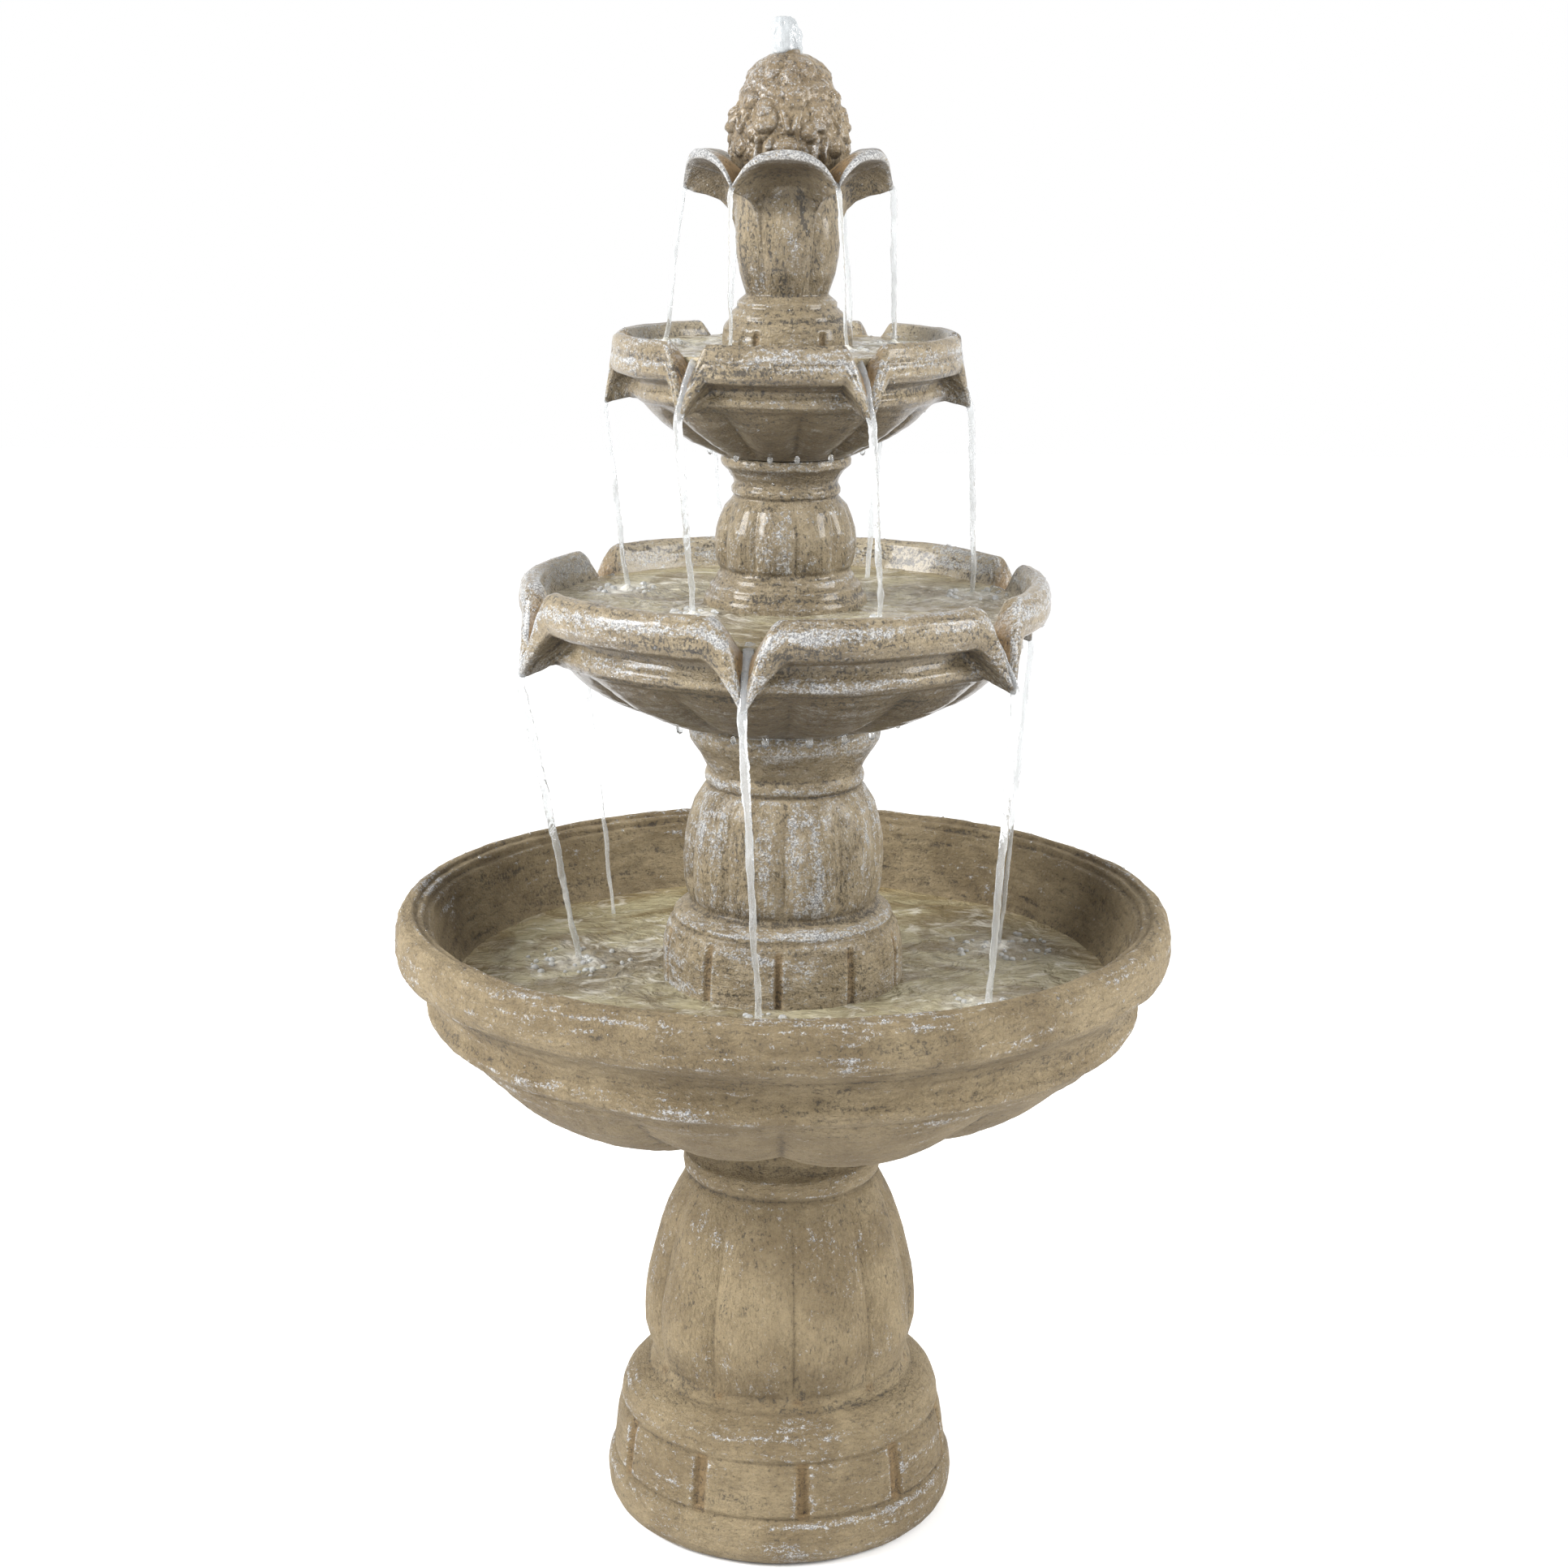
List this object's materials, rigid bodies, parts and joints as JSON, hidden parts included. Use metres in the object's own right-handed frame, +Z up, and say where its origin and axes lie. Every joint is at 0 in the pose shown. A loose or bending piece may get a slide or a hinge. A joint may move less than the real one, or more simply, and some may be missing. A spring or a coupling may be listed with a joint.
{
  "type": "tiered water fountain",
  "caption": "Tiered garden fountain: a pedestal basin under spouted bowls on columns, a flower vase and a fruit finial, fed by a submerged pump.",
  "frame": {"origin": "on the floor, on the fountain's axis, at the bottom centre of the box round it", "axes": "+Z up along the fountain's axis, -Y towards the front, +X to the right seen from the front"},
  "size_m": [0.695, 0.6948, 1.319],
  "materials": {
    "cast_resin": "cast stone-look resin, tan with dark washes and pale dry-brushed edges",
    "wet_resin": "the same stone-look resin, wet from the running water",
    "black_plastic": "moulded satin black",
    "dial_plastic": "moulded grey",
    "clear_hose": "clear flexible vinyl tube",
    "steel": "stamped stainless",
    "seal_rubber": "matt black rubber",
    "sucker_rubber": "soft dark grey rubber",
    "magnet": "plastic-coated ferrite magnet",
    "ceramic_shaft": "ground ceramic",
    "sponge": "open-cell foam"
  },
  "bodies": {
    "pedestal": {"pedestal": "cast_resin"},
    "basin": {"basin": "cast_resin", "delivery_hose": "clear_hose", "outlet_adapter": "black_plastic", "hose_clamp": "steel", "pump_body": "black_plastic", "pump_volute": "black_plastic", "impeller_shaft": "ceramic_shaft", "shaft_bushes": "seal_rubber", "pump_suction_cups": "sucker_rubber", "pump_cord_gland": "seal_rubber"},
    "lower_column": {"lower_column": "cast_resin"},
    "middle_bowl": {"middle_bowl": "wet_resin", "middle_hose_grommet": "seal_rubber"},
    "upper_column": {"upper_column": "wet_resin"},
    "upper_bowl": {"upper_bowl": "wet_resin", "upper_hose_grommet": "seal_rubber"},
    "top_vase": {"top_vase": "wet_resin"},
    "finial": {"finial": "wet_resin", "jet_nozzle": "black_plastic"},
    "cord_stopper": {"cord_stopper": "seal_rubber"},
    "impeller": {"pump_impeller": "magnet"},
    "intake_cover": {"pump_intake_cover": "black_plastic", "pump_filter_sponge": "sponge"},
    "flow_dial": {"pump_flow_dial": "dial_plastic"},
    "clamp_screw": {"clamp_screw": "steel"}
  },
  "joints": [
    {"name": "basin_lift", "type": "slide", "parent": "pedestal", "child": "basin", "axis": [0, 0, 1], "range_m": [0, 0.03]},
    {"name": "lower_column_lift", "type": "slide", "parent": "basin", "child": "lower_column", "axis": [0, 0, 1], "range_m": [0, 0.03]},
    {"name": "middle_bowl_lift", "type": "slide", "parent": "lower_column", "child": "middle_bowl", "axis": [0, 0, 1], "range_m": [0, 0.03]},
    {"name": "upper_column_lift", "type": "slide", "parent": "middle_bowl", "child": "upper_column", "axis": [0, 0, 1], "range_m": [0, 0.03]},
    {"name": "upper_bowl_lift", "type": "slide", "parent": "upper_column", "child": "upper_bowl", "axis": [0, 0, 1], "range_m": [0, 0.03]},
    {"name": "top_vase_lift", "type": "slide", "parent": "upper_bowl", "child": "top_vase", "axis": [0, 0, 1], "range_m": [0, 0.03]},
    {"name": "finial_lift", "type": "slide", "parent": "top_vase", "child": "finial", "axis": [0, 0, 1], "range_m": [0, 0.03]},
    {"name": "cord_stopper_pull", "type": "slide", "parent": "basin", "child": "cord_stopper", "axis": [0, 0, 1], "range_m": [0, 0.02]},
    {"name": "impeller_spin", "type": "hinge", "parent": "basin", "child": "impeller", "pos_m": [0.03, 0, 0.438], "axis": [1, 0, 0], "continuous": true},
    {"name": "intake_cover_pull", "type": "slide", "parent": "basin", "child": "intake_cover", "axis": [-1, 0, 0], "range_m": [0, 0.025]},
    {"name": "flow_dial_turn", "type": "hinge", "parent": "intake_cover", "child": "flow_dial", "pos_m": [-0.035, 0, 0.438], "axis": [1, 0, 0], "range_deg": [0, 120]},
    {"name": "clamp_screw_turn", "type": "hinge", "parent": "basin", "child": "clamp_screw", "pos_m": [0, -0.0128, 0.478], "axis": [1, 0, 0], "continuous": true}
  ]
}
